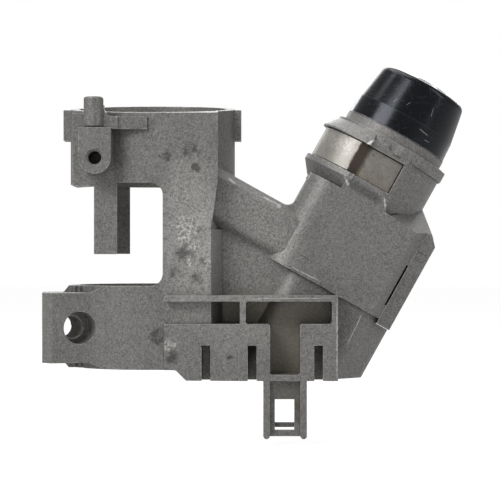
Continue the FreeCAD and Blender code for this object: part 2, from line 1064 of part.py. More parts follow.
def housing():
    ears, mouth, deep, length = ear()
    lock = in_lock(lock_body())
    channel = in_lock(bolt_channel())
    left_of_lock = block(0, beyond, -beyond, beyond, -beyond, beyond)
    parts = [ears, ear_blend(mouth), channel.common(left_of_lock), lock]
    parts += rear_ramps() + bracket() + web() + frame_on_front()
    body = collar().multiFuse(parts)
    bolt_bore = cylinder(bore_radius, -10, 120)
    cuts = [bolt_bore] + clamp_cuts(mouth, deep, length) + frame_cuts()
    cuts.append(cylinder(bore_radius + bore_relief, clamp_height, ring_foot))
    cuts.append(cylinder(bore_radius + bore_relief, -beyond, 0))
    cuts.append(block(frame_left, beyond, -frame_root, beyond, -beyond, lower_foot_z))
    cuts.append(block(frame_right, beyond, -beyond, beyond, -beyond, lower_foot_z))
    cuts.append(block(-beyond, beyond, -frame_front + latch_depth + latch_bar, beyond, -beyond, lower_foot_z))
    cuts += [in_lock(shape) for shape in lock_cuts()]
    cuts.append(rod(screw_hole_radius, vec(boss_x, -boss_face - 1, boss_z), vec(0, 1, 0), screw_hole_depth + 1))
    cuts.append(
        Part.makeCone(
            screw_hole_radius + screw_sink,
            screw_hole_radius,
            screw_sink,
            vec(boss_x, -boss_face, boss_z),
            vec(0, 1, 0),
        )
    )
    body = body.cut(cuts)
    spigot = tube(spigot_radius, barrel_radius + fit_gap, -0.5, spigot_height)
    body = body.fuse(in_lock(spigot))
    return body.removeSplitter()


def guard_sleeve():
    low = -window_low + sleeve_gap
    high = -window_high - sleeve_gap
    return sleeve_solid(0, low, high).cut(sleeve_solid(sleeve_wall, low, high))


def cap_shell():
    inside = cap_kink_radius - cap_side_wall
    hole = ring_radius + fit_gap
    return turned(
        [
            (inside, 0),
            (cap_foot_radius, 0),
            (cap_kink_radius, cap_kink_height),
            (cap_top_radius, cap_height, cap_round),
            (hole, cap_height),
            (hole, cap_ceiling),
            (cap_top_radius - cap_crown_wall, cap_ceiling, 1.5),
            (inside, spigot_height),
        ]
    )


def coil_parts():
    inside = ring_radius + fit_gap
    core = inside + coil_core_wall
    top = cap_ceiling - fit_gap
    bobbin = turned(
        [
            (inside, spigot_height),
            (coil_flange_radius, spigot_height),
            (coil_flange_radius, spigot_height + coil_flange),
            (core, spigot_height + coil_flange),
            (core, top - coil_flange),
            (coil_flange_radius, top - coil_flange),
            (coil_flange_radius, top),
            (inside, top),
        ]
    )
    winding = tube(
        coil_flange_radius - coil_sink,
        core + thin_gap,
        spigot_height + coil_flange + thin_gap,
        top - coil_flange - thin_gap,
    )
    return bobbin, winding


def face_ring():
    return turned(
        [
            (ring_opening, nose_top),
            (ring_radius, nose_top),
            (ring_radius, ring_top, 0.7),
            (ring_opening + 1.4, ring_top, 0.4),
            (ring_opening, ring_top - 1.0),
        ]
    )


def barrel():
    body = turned(
        [
            (0, -barrel_depth),
            (barrel_radius, -barrel_depth),
            (barrel_radius, spigot_height - fit_gap),
            (barrel_nose_radius, spigot_height - fit_gap),
            (barrel_nose_radius, nose_top),
            (0, nose_top),
        ]
    )
    plug_bore = cylinder(plug_radius + run_gap, -barrel_depth + barrel_end_wall, nose_top + 1)
    tail_bore = cylinder(plug_tail_radius + run_gap, -barrel_depth - 1, 0)
    pocket = rod(
        latch_pin_radius + run_gap, vec(0, plug_radius + 0.3, -latch_pin_height), vec(0, 1, 0), barrel_radius
    )
    return body.cut([plug_bore, tail_bore, pocket])


def barrel_latch():
    start = barrel_radius + latch_pin_reach - latch_pin_length
    pin = rod(latch_pin_radius, vec(0, start, -latch_pin_height), vec(0, 1, 0), latch_pin_length)
    return pin.makeChamfer(0.35, [pin.Edges[0], pin.Edges[2]])


def plug():
    shoulder = -barrel_depth + barrel_end_wall + run_gap
    tail_end = -barrel_depth - plug_tail
    body = turned(
        [
            (0, tail_end),
            (plug_tail_radius, tail_end),
            (plug_tail_radius, shoulder),
            (plug_radius, shoulder),
            (plug_radius, nose_top - fit_gap),
            (ring_opening - run_gap, nose_top - fit_gap),
            (ring_opening - run_gap, plug_face, 0.4),
            (0, plug_face),
        ]
    )
    tang = block(-tang_width / 2, tang_width / 2, -4.5, 4.5, tail_end - tang_length, tail_end + 1)
    body = body.fuse(tang.common(cylinder(plug_tail_radius, tail_end - 10, 0)))
    cuts = [
        block(-key_width / 2, key_width / 2, -key_height / 2, key_height / 2, plug_face - key_depth, plug_face + 1)
    ]
    roof = plug_face - shutter_drop
    cuts.append(
        block(
            shutter_pin_u - shutter_thickness / 2 - 0.3,
            shutter_pin_u + shutter_reach + 0.25,
            -key_height / 2 - fit_gap,
            key_height / 2 + fit_gap,
            roof - pocket_depth,
            roof,
        )
    )
    cuts.append(shutter_pin(thin_gap, fit_gap))
    for w in tumbler_places():
        cuts.append(
            block(
                -tumbler_width / 2 - run_gap,
                tumbler_width / 2 + run_gap,
                -plug_radius - 1,
                plug_radius + 1,
                w - run_gap,
                w + tumbler_thickness + run_gap,
            )
        )
    clip_high = -barrel_depth - run_gap
    groove = tube(plug_tail_radius + 1, plug_tail_radius - clip_groove, clip_high - clip_thickness - run_gap, clip_high)
    cuts.append(groove)
    return body.cut(cuts)


def tumbler_places():
    return [tumbler_first - i * tumbler_pitch for i in range(tumbler_count)]


def tumblers():
    plates = []
    for w in tumbler_places():
        plate = block(
            -tumbler_width / 2, tumbler_width / 2, -plug_radius, plug_radius, w, w + tumbler_thickness
        )
        plate = plate.common(cylinder(plug_radius - run_gap, w - 1, w + 3))
        plate = plate.cut(
            block(-key_width / 2, key_width / 2, -tumbler_window / 2, tumbler_window / 2, w - 1, w + 3)
        )
        plates.append(plate)
    return Part.makeCompound(plates)


def shutter_height():
    return plug_face - shutter_drop - run_gap - shutter_thickness / 2


def shutter_pin(gap=0.0, end_gap=0.0):
    half = key_height / 2 + 0.5 + end_gap
    return rod(shutter_pin_radius + gap, vec(shutter_pin_u, -half, shutter_height()), vec(0, 1, 0), half * 2)


def key_shutter():
    half = key_height / 2
    centre = vec(shutter_pin_u, -half, shutter_height())
    knuckle = rod(shutter_thickness / 2, centre, vec(0, 1, 0), half * 2)
    flap = block(
        shutter_pin_u,
        shutter_pin_u + shutter_reach,
        -half,
        half,
        centre.z - shutter_thickness / 2,
        centre.z + shutter_thickness / 2,
    )
    return knuckle.fuse(flap).removeSplitter().cut(shutter_pin(thin_gap, 1.0))


def plug_clip():
    high = -barrel_depth - run_gap - thin_gap
    ring = tube(clip_radius, plug_tail_radius - clip_groove + run_gap, high - clip_thickness + thin_gap, high)
    mouth = block(0, 20, -2.6, 2.6, high - 5, high + 1)
    return ring.cut(mouth)


def drive_shaft():
    tail_end = -barrel_depth - plug_tail
    head_top = tail_end - fit_gap
    foot = -switch_top - switch_roof - rotor_height
    body = cylinder(head_radius, -head_low + run_gap, head_top)
    body = body.fuse(cylinder(shaft_radius, foot, -head_low + 1))
    slot = block(
        -tang_width / 2 - run_gap, tang_width / 2 + run_gap, -20, 20, tail_end - tang_length - fit_gap, head_top + 1
    )
    flat = block(shaft_flat, 20, -20, 20, foot - 1, -switch_top)
    return body.cut(slot).cut(flat).removeSplitter()


def return_spring():
    floor = -head_low - spring_room_depth
    radius = spring_room_radius - return_spring_wire / 2 - 0.4
    room = spring_room_depth - return_spring_wire - 0.6
    spring = coil(radius, return_spring_wire, return_spring_turns, room)
    spring.translate(vec(0, 0, floor + return_spring_wire / 2 + 0.3))
    return spring


def lock_cam():
    disc = cylinder(
        cam_radius, yoke_low + run_gap, yoke_high - run_gap, cam_u, cam_y
    )
    return disc.cut(cylinder(shaft_radius + thin_gap, yoke_low - 1, yoke_high + 1))


def bolt_yoke():
    frame = prism(
        [
            (yoke_left, yoke_front, 1.5),
            (yoke_right, yoke_front, 1.5),
            (yoke_right, yoke_back, 1.5),
            (yoke_left, yoke_back, 1.5),
        ],
        yoke_low,
        yoke_high,
    )
    window = prism(
        [
            (yoke_window_left, yoke_window_front, 2.0),
            (yoke_window_right, yoke_window_front, 2.0),
            (yoke_window_right, yoke_window_back, 2.0),
            (yoke_window_left, yoke_window_back, 2.0),
        ],
        yoke_low - 1,
        yoke_high + 1,
    )
    tongue_end = yoke_left - tongue_neck - tongue_head
    neck = block(tongue_end, yoke_left + 1, -tongue_width / 2, tongue_width / 2, yoke_low, yoke_high)
    head = block(
        tongue_end, tongue_end + tongue_head, -tongue_head_width / 2, tongue_head_width / 2, yoke_low, yoke_high
    )
    seat = rod(spring_seat_radius, vec(yoke_right - 0.5, spring_y, -bolt_centre), vec(1, 0, 0), spring_seat_length)
    return frame.cut(window).multiFuse([neck, head, seat]).removeSplitter()


def lock_bolt():
    low = -bolt_centre - bolt_height / 2
    high = -bolt_centre + bolt_height / 2
    bar = side_prism(
        [
            (-bolt_width / 2, low, bolt_chamfer),
            (bolt_width / 2, low, bolt_chamfer),
            (bolt_width / 2, high, bolt_chamfer),
            (-bolt_width / 2, high, bolt_chamfer),
        ],
        -70,
        bolt_tail,
    )
    tongue_end = yoke_left - tongue_neck - tongue_head
    half = tongue_width / 2 + slide_gap
    neck = block(tongue_end, bolt_tail + 1, -half, half, low - 1, high + 1)
    half = tongue_head_width / 2 + slide_gap
    head = block(
        tongue_end - thin_gap, tongue_end + tongue_head + slide_gap, -half, half, low - 1, high + 1
    )
    bar = in_lock(bar.cut(neck).cut(head))
    tip = bore_radius + tip_clear - bolt_travel * math.cos(lean)
    return bar.cut(block(-200, tip, -100, 100, -200, 200))


def bolt_spring():
    start = yoke_right + bolt_spring_wire / 2 + run_gap
    length = chamber_right - start - bolt_spring_wire / 2 - run_gap
    spring = coil(bolt_spring_radius, bolt_spring_wire, bolt_spring_turns, length)
    spring.rotate(vec(0, 0, 0), vec(0, 1, 0), 90)
    spring.translate(vec(start, spring_y, -bolt_centre))
    return spring


def side_cover():
    plate = prism(body_outline(), -cover_low, -cover_high)
    plate = plate.common(block(bevel_right, 60, -60, cover_back, -cover_low, -cover_high))
    holes = [
        rod(cover_pin_radius + thin_gap, vec(bevel_right - 1, 0, height), vec(1, 0, 0), 20)
        for height in cover_pin_heights()
    ]
    return plate.cut(holes)


def cover_pins():
    pins = []
    for height in cover_pin_heights():
        pins.append(
            rod(cover_pin_radius, vec(body_right - cover_pin_length, 0, height), vec(1, 0, 0), cover_pin_length)
        )
    return Part.makeCompound(pins)


switch_radius = switch_room_radius - fit_gap
switch_foot = -switch_top - switch_length
rotor_top = -switch_top - switch_roof - run_gap
rotor_foot = rotor_top - rotor_height
contact_low = rotor_foot - bridge_height - contact_dome
base_top = switch_foot + base_thickness


def switch_housing():
    body = cylinder(switch_radius, switch_foot, -switch_top)
    body = body.cut(cylinder(switch_radius - switch_wall, switch_foot - 1, -switch_top - switch_roof))
    body = body.cut(cylinder(rotor_hub_radius + run_gap, -switch_top - 10, 0))
    return body.cut(switch_screws(thin_gap))


def switch_screws(gap=0.0):
    screws = []
    for across in (-screw_offset, screw_offset):
        surface = math.sqrt(switch_radius**2 - screw_offset**2)
        start = surface - screw_bite - gap
        stop = lower_back - screw_head_height
        shank = rod(screw_shank_radius + gap, vec(across, start, screw_w), vec(0, 1, 0), stop - start + 0.5)
        head = rod(screw_head_radius, vec(across, stop, screw_w), vec(0, 1, 0), screw_head_height)
        screws.append(shank.fuse(head).removeSplitter())
    return Part.makeCompound(screws)


def switch_rotor():
    body = cylinder(rotor_radius, rotor_foot, rotor_top)
    body = body.fuse(cylinder(rotor_hub_radius, rotor_foot, -switch_top - run_gap))
    hole = cylinder(shaft_radius + thin_gap, -switch_top - 20, 0)
    hole = hole.cut(block(shaft_flat + thin_gap, 20, -20, 20, -200, 0))
    return body.cut(hole).removeSplitter()


def ringed(shape, count, first):
    copies = []
    for i in range(count):
        copy = shape.copy()
        copy.rotate(vec(0, 0, 0), vec(0, 0, 1), first + i * 360 / count)
        copies.append(copy)
    return copies


def rotor_contacts():
    half_angle = math.pi / contact_count
    reach = contact_circle * math.cos(half_angle)
    spread = contact_circle * math.sin(half_angle)
    bar = block(
        reach - bridge_width / 2,
        reach + bridge_width / 2,
        -bridge_length / 2,
        bridge_length / 2,
        rotor_foot - bridge_height,
        rotor_foot,
    )
    domes = [cylinder(0.9, contact_low, rotor_foot - 0.2, reach, y) for y in (-spread, spread)]
    bar = bar.multiFuse(domes).removeSplitter()
    return Part.makeCompound(ringed(bar, contact_count // 2, 180 / contact_count))


def terminals():
    top = contact_low - contact_gap
    stud = cylinder(contact_radius, switch_foot - 0.5, top, contact_circle, 0)
    pieces = []
    for stud_copy in ringed(stud, contact_count, 0):
        centre = stud_copy.BoundBox.Center
        blade = block(
            centre.x - blade_width / 2,
            centre.x + blade_width / 2,
            centre.y - blade_thickness / 2,
            centre.y + blade_thickness / 2,
            switch_foot - blade_length,
            switch_foot,
        )
        blade = blade.makeChamfer(0.25, [e for e in blade.Edges if e.BoundBox.ZMax < switch_foot - blade_length + 0.1])
        pieces.append(stud_copy.fuse(blade).removeSplitter())
    return Part.makeCompound(pieces)


def switch_base():
    inside = switch_radius - switch_wall - fit_gap
    body = cylinder(inside, switch_foot, base_top)
    body = body.fuse(cylinder(base_step_radius, switch_foot, base_top + base_step))
    body = body.fuse(cylinder(base_post_radius, switch_foot, rotor_foot - run_gap))
    skirt = prism(
        [
            (-socket_width / 2, -socket_depth / 2, 1.5),
            (socket_width / 2, -socket_depth / 2, 1.5),
            (socket_width / 2, socket_depth / 2, 1.5),
            (-socket_width / 2, socket_depth / 2, 1.5),
        ],
        switch_foot - socket_length,
        switch_foot + 0.5,
    )
    hollow = block(
        -socket_width / 2 + socket_wall,
        socket_width / 2 - socket_wall,
        -socket_depth / 2 + socket_wall,
        socket_depth / 2 - socket_wall,
        switch_foot - socket_length - 1,
        switch_foot,
    )
    body = body.fuse(skirt).cut(hollow)
    for stud in ringed(cylinder(contact_radius + thin_gap, -120, -60, contact_circle, 0), contact_count, 0):
        body = body.cut(stud)
    for stud in ringed(cylinder(contact_radius, 0, 1, contact_circle, 0), contact_count, 0):
        centre = stud.BoundBox.Center
        body = body.cut(
            block(
                centre.x - blade_width / 2 - thin_gap,
                centre.x + blade_width / 2 + thin_gap,
                centre.y - blade_thickness / 2 - thin_gap,
                centre.y + blade_thickness / 2 + thin_gap,
                switch_foot - 10,
                switch_foot + thin_gap,
            )
        )
    return body.removeSplitter()


save("housing", housing())
save("guard_sleeve", in_lock(guard_sleeve()))
save("cap_shell", in_lock(cap_shell()))
bobbin_shape, winding_shape = coil_parts()
save("coil_bobbin", in_lock(bobbin_shape))
save("coil_winding", in_lock(winding_shape))
save("face_ring", in_lock(face_ring()))
save("lock_barrel", in_lock(barrel()))
save("barrel_latch", in_lock(barrel_latch()))
save("plug", in_lock(plug()))
save("tumblers", in_lock(tumblers()))
save("key_shutter", in_lock(key_shutter()))
save("shutter_pin", in_lock(shutter_pin()))
save("plug_clip", in_lock(plug_clip()))
save("drive_shaft", in_lock(drive_shaft()))
save("return_spring", in_lock(return_spring()))
save("lock_cam", in_lock(lock_cam()))
save("bolt_yoke", in_lock(bolt_yoke()))
save("lock_bolt", lock_bolt())
save("bolt_spring", in_lock(bolt_spring()))
save("side_cover", in_lock(side_cover()))
save("cover_pins", in_lock(cover_pins()))
save("switch_housing", in_lock(switch_housing()))
save("switch_rotor", in_lock(switch_rotor()))
save("rotor_contacts", in_lock(rotor_contacts()))
save("terminals", in_lock(terminals()))
save("switch_base", in_lock(switch_base()))
save("switch_screws", in_lock(switch_screws()))
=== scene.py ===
import math

import bpy
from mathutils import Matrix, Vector


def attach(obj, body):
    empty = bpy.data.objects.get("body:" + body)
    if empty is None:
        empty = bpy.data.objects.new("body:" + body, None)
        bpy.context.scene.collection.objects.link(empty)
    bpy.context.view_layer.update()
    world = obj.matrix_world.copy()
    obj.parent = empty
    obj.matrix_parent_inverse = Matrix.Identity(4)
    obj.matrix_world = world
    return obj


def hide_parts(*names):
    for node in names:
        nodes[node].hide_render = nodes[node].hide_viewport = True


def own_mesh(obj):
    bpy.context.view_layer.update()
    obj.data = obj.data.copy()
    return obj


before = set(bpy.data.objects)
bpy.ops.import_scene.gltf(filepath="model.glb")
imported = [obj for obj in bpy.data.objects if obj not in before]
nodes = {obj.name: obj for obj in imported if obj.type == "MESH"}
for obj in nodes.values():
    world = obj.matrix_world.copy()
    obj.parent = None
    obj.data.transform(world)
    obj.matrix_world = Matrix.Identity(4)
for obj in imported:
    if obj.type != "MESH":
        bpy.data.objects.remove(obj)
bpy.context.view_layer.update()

MM = 0.001

# The lock leans away from the steering column, which stands along Z through the origin.
LEAN = math.radians(29.1)
LOCK_FOOT = Vector((89.9, 0, 84.57)) * MM
LOCK_UP = Vector((math.sin(LEAN), 0, math.cos(LEAN)))
LOCK_ACROSS = Vector((math.cos(LEAN), 0, -math.sin(LEAN)))
LOCK_TURN = (0, -LEAN, 0)

# The camera looks along +Y. A pixel of the photograph is this many millimetres wide in the plane Y = 0.
CAMERA_PLACE = Vector((35.9, -740, 42.6)) * MM
SENSOR_WIDTH = 36
FOCAL_LENGTH = 144.0
PHOTO_CENTRE = 250
PIXEL = 0.37

# Marks seen in the photograph: pixel across, pixel down, depth along Y and radius, the last two in millimetres.
FRONT_MARK = (1, 0.15, 1)
SMUDGES = (
    (168, 156, -28, 2.2),
    (192, 151, -28, 2.6),
    (197, 168, -28, 1.6),
    (186, 252, -28, 3.4),
    (176, 272, -28, 2.4),
    (201, 236, -26, 2.6),
    (196, 279, -27, 2.0),
    (203, 262, -26, 1.6),
    (160, 336, -29, 2.4),
    (173, 357, -29, 2.2),
    (231, 358, -34, 1.0),
    (374, 262, -23, 0.8),
    (259.6, 313.6, -22, 1.3),
)
RUBS = (
    (187, 228, -28, 3.6),
    (181, 238, -28, 2.2),
    (193, 246, -28, 1.8),
    (205, 262, -26, 1.5),
    (190, 262, -27, 1.3),
    (170, 345, -29, 2.2),
)
STAINS = (
    (290, 396, -29, 5.0),
    (290, 412, -29, 5.0),
)
SHELTERED = (
    (285, 372, -18, 6.5),
    (285, 350, -18, 6.5),
    (282, 326, -18, 7.5),
    (258, 312, -18, 6.5),
    (308, 314, -18, 6.5),
    (238, 308, -18, 6.0),
)
# A painted highlight down the spine: pixel across, pixel down and depth along Y in millimetres.
SPINE_HIGHLIGHT = (189, 235, -28)
# Painted light on the recessed web and channel, given the same way.
WEB_LIGHT = (243, 256, -18)

# Lines seen in the photograph: the pixels of both ends, then depth along Y and half width in millimetres.
# Painted highlights along the edges of the plates and faces.
EDGE_HIGHLIGHT_LINES = (
    (337, 298, 337, 384, -34, 0.15),
    (238, 299, 337, 298, -34, 0.1),
    (228, 178, 236, 184, -22, 0.35),
    (262, 196, 281, 206, -22, 0.22),
    (277, 205, 281, 207, -22, 0.6),
    (364, 146, 376, 139, -25, 0.4),
    (344, 175, 349, 186, -24, 0.35),
    (384, 196, 386, 215, -23, 0.22),
    (363, 312, 347, 345, -21, 0.13),
    (289, 266, 320, 281, -23, 0.14),
)
# Dark lines along edges; the last one is painted shade.
DARK_AND_SHADE_LINES = (
    (289, 264, 301, 278, -23, 0.25),
    (292, 281, 296, 276, -23, 0.2),
    (300, 254, 312, 262, -23, 0.16),
    (199, 286, 204, 279, -26, 0.3),
    (391, 144, 391, 151, -25, 0.4),
    (392, 153, 402, 159, -25, 0.25),
    # Painted shade along the bevel under the plate.
    (347, 181, 383, 203, -23, 1.5),
)
CAP_SCRATCHES = (
    (418, 129, 428, 137, -14, 0.16),
    (392, 103, 397, 99, -14, 0.1),
    (423, 140, 429, 143, -14, 0.1),
    (405, 106, 410, 103, -14, 0.08),
    (430, 118, 433, 108, -14, 0.08),
)

# Where masks start and end, in millimetres: from the column's axis, along Y, or along and across the lock.
BORE_EDGE = (28.2, 28.9)
FRONT_FACE = (-16, -10)
SHELTERED_DEPTH = (-28, -26)
SEAM_HEIGHT = -0.15
SEAM_REACH = (23, 24)
SLEEVE_STRIP_START = (-10.9, -10.1)
SLEEVE_STRIP_END = (-6.9, -5.2)
SLEEVE_FLAT = (-7.4, -6.6)
SLEEVE_YELLOWED = (-19.5, -16.5)
SLEEVE_SHADED = (-15, -10)
CAP_FRONT = (-6, 0)
CAP_SHOULDER = (15.0, 19.0)
CAP_KINK = 6.9

CASTING_LEVEL = 0.165
FLOOR_DIRT = (0.12, 0.108, 0.086, 1)
FLOOR_PALE = (0.38, 0.345, 0.28, 1)
STAIN_BROWN = (0.082, 0.068, 0.048, 1)
SLEEVE_DIRT_AND_SHADE = (0.09, 0.06, 0.04, 1)
SLEEVE_YELLOW = (0.34, 0.29, 0.19, 1)
CAP_SHEEN = (0.86, 0.9, 1.0, 1)

# The thread in the rear ear of the clamp, in millimetres. Its hole is turned about Z from the Y direction.
THREAD_RADIUS = 4.28
THREAD_RIDGE = 0.42
THREAD_PITCH = 1.5
THREAD_TURNS = 11
THREAD_START = 10.4
THREAD_STEPS = 40
CLAMP_HOLE_MOUTH = Vector((-24.9, -26.5, 14.8)) * MM
CLAMP_HOLE_TURN = math.radians(20)

# The studio, in metres, apart from the floor's height. A lamp has a name, a place, a width, a height and watts.
FLOOR_SIZE = 6
FLOOR_HEIGHT = -26.5
FLOOR_GLOW = 1.2
WORLD_LIGHT = 0.37
LAMP_AIM = (0.04, 0, 0.05)
LAMPS = (
    ("key", (-0.62, -0.75, 0.75), 0.7, 0.5, 10),
    ("right_box", (0.85, -0.45, 0.45), 0.25, 0.7, 1.8),
    ("top", (-0.12, 0.1, 0.95), 0.8, 0.8, 5.5),
    ("back", (0.1, 0.8, 0.5), 0.9, 0.5, 5),
)


def lock_point(across, behind, up):
    """The point at these millimetres from the lock's foot: across the lock, along Y and along the lock."""
    return LOCK_FOOT + (LOCK_ACROSS * across + LOCK_UP * up) * MM + Vector((0, behind * MM, 0))


def seen(px, py, depth):
    """The point at a pixel of the photograph, at a depth along Y given in millimetres."""
    away = 1 - depth * MM / CAMERA_PLACE.y
    across = (px - PHOTO_CENTRE) * PIXEL * MM
    up = (PHOTO_CENTRE - py) * PIXEL * MM
    return Vector((CAMERA_PLACE.x + across * away, depth * MM, CAMERA_PLACE.z + up * away))


def deselect():
    for thing in bpy.context.selected_objects:
        thing.select_set(False)


def only(piece):
    """Makes one piece the selected and active one."""
    deselect()
    piece.select_set(True)
    bpy.context.view_layer.objects.active = piece


def grey(level, warm=0.0):
    return (level * (1 + warm), level, level * (1 - warm * 1.6), 1)


class Value:
    """The output of a shader node. Arithmetic with it adds Math nodes."""

    def __init__(self, paint, socket):
        self.paint = paint
        self.socket = socket

    def math(self, operation, first, second=0.0):
        return self.paint.node("ShaderNodeMath", {"operation": operation}, {0: first, 1: second})

    def __add__(self, other):
        return self.math("ADD", self, other)

    def __radd__(self, other):
        return self.math("ADD", other, self)

    def __sub__(self, other):
        return self.math("SUBTRACT", self, other)

    def __rsub__(self, other):
        return self.math("SUBTRACT", other, self)

    def __mul__(self, other):
        return self.math("MULTIPLY", self, other)

    def swing(self, reach):
        """A value that runs from 0 to 1, made to swing about 0 by this much in all."""
        return (self - 0.5) * reach

    def held(self):
        """The value kept between 0 and 1."""
        return self.paint.node("ShaderNodeClamp", {}, {"Value": self})

    def rise(self, low, high, out_low=0.0, out_high=1.0):
        """A soft step from 0 at low to 1 at high."""
        return self.paint.node(
            "ShaderNodeMapRange",
            {"interpolation_type": "SMOOTHSTEP"},
            {"Value": self, "From Min": low, "From Max": high, "To Min": out_low, "To Max": out_high},
        )

    def fall(self, low, high):
        """A soft step from 1 at low to 0 at high."""
        return self.rise(low, high, 1.0, 0.0)

    def near(self, inner, outer):
        """1 where the value is within inner of 0, and 0 from outer on."""
        return self.math("ABSOLUTE", self).fall(inner, outer)


class Paint:
    """One material with its nodes."""

    def __init__(self, name):
        self.material = bpy.data.materials.new(name)
        self.material.use_nodes = True
        self.tree = self.material.node_tree
        self.tree.nodes.clear()
        self.place = self.node("ShaderNodeTexCoord", {}, {}, "Object")

    def node(self, kind, settings, inputs, output=0):
        """Adds a node with its settings and inputs, and gives one of its outputs."""
        made = self.tree.nodes.new(kind)
        for key, setting in settings.items():
            setattr(made, key, setting)
        for key, given in inputs.items():
            if isinstance(given, Value):
                self.tree.links.new(given.socket, made.inputs[key])
            else:
                made.inputs[key].default_value = given
        return Value(self, made.outputs[output])

    def vector(self, operation, first, second=(0, 0, 0), output="Vector"):
        return self.node("ShaderNodeVectorMath", {"operation": operation}, {0: first, 1: second}, output)

    def along_y(self):
        return self.node("ShaderNodeSeparateXYZ", {}, {0: self.place}, "Y")

    def lock_distance(self, direction, place=None):
        """How far the place is from the lock's foot in a direction."""
        dot = self.vector("DOT_PRODUCT", place or self.place, tuple(direction), "Value")
        return dot - LOCK_FOOT.dot(direction)

    def noise(self, scale, detail=3.0, roughness=0.55, distortion=0.0, place=None):
        inputs = {"Scale": scale, "Detail": detail, "Roughness": roughness, "Distortion": distortion}
        return self.node("ShaderNodeTexNoise", {}, {"Vector": place or self.place, **inputs})

    def stretched(self, scale, turn=(0, 0, 0)):
        """The place scaled by each axis, so that noise on it has a grain."""
        inputs = {"Vector": self.place, "Rotation": turn, "Scale": scale}
        return self.node("ShaderNodeMapping", {"vector_type": "POINT"}, inputs)

    def wavering(self, scale, reach):
        """The place with its coordinates shaken by noise, for ragged outlines."""
        shake = self.node("ShaderNodeTexNoise", {}, {"Vector": self.place, "Scale": scale, "Detail": 4.0}, "Color")
        shake = self.vector("SUBTRACT", shake, (0.5, 0.5, 0.5))
        inputs = {0: shake, 1: (reach,) * 3, 2: self.place}
        return self.node("ShaderNodeVectorMath", {"operation": "MULTIPLY_ADD"}, inputs)

    def ramp(self, value, low, high):
        """A colour that runs between two stops, each a position and a colour."""
        made = self.node("ShaderNodeValToRGB", {}, {"Fac": value})
        for element, (position, colour) in zip(made.socket.node.color_ramp.elements, (low, high)):
            element.position = position
            element.color = colour
        return made

    def mixed(self, factor, first, second):
        settings = {"data_type": "RGBA", "blend_type": "MIX"}
        return self.node("ShaderNodeMix", settings, {0: factor, 6: first, 7: second}, 2)

    def tinted(self, level, warm):
        """A grey of a varying level with a fixed warmth."""
        return self.ramp(level, (0.0, grey(0.0)), (1.0, grey(1.0, warm)))

    def spot(self, place, centre, radius, soft, squash):
        """A soft round patch about a point, with a radius in metres. A small squash draws it out along an axis."""
        away = self.vector("SUBTRACT", place, tuple(centre))
        away = self.vector("MULTIPLY", away, squash)
        return self.vector("LENGTH", away, output="Value").fall(radius * (1 - soft), radius * (1 + soft))

    def spots(self, place, marks, soft, squash=FRONT_MARK):
        """The sum of a table's marks."""
        total = 0.0
        for px, py, depth, radius in marks:
            total = self.spot(place, seen(px, py, depth), radius * MM, soft, squash) + total
        return total

    def streak(self, place, start, end, width, soft=0.6):
        """A straight line between two points, seen as a thin band of any depth along Y."""
        run = end - start
        length = run.length
        run.normalize()
        side = run.cross(Vector((0, 1, 0))).normalized()
        along = self.vector("DOT_PRODUCT", place, tuple(run), "Value") - start.dot(run)
        across = self.vector("DOT_PRODUCT", place, tuple(side), "Value") - start.dot(side)
        band = across.near(width * (1 - soft), width * (1 + soft))
        return band * along.rise(0, length * 0.2) * along.fall(length * 0.8, length)

    def streaks(self, place, lines):
        """The sum of a table's lines."""
        total = 0.0
        for px, py, end_px, end_py, depth, width in lines:
            line = self.streak(place, seen(px, py, depth), seen(end_px, end_py, depth), width * MM)
            total = line + total
        return total

    def edges(self, distance, inside=True):
        """How near the surface is to an outer edge, or to an inner corner."""
        settings = {"inside": inside, "only_local": True, "samples": 12}
        return 1 - self.node("ShaderNodeAmbientOcclusion", settings, {"Distance": distance}, "AO")

    def rounded(self, radius):
        """A normal that makes sharp edges look rounded."""
        return self.node("ShaderNodeBevel", {"samples": 6}, {"Radius": radius})

    def bumped(self, height, strength, distance, normal=None):
        inputs = {"Height": height, "Strength": strength, "Distance": distance}
        if normal:
            inputs["Normal"] = normal
        return self.node("ShaderNodeBump", {}, inputs)

    def finish(self, **inputs):
        """Closes the material with a Principled surface."""
        names = {key.replace("_", " "): given for key, given in inputs.items()}
        return self.close(self.node("ShaderNodeBsdfPrincipled", {}, names))

    def close(self, surface):
        output = self.tree.nodes.new("ShaderNodeOutputMaterial")
        self.tree.links.new(surface.socket, output.inputs["Surface"])
        return self.material


def in_metres(limits):
    return [limit * MM for limit in limits]


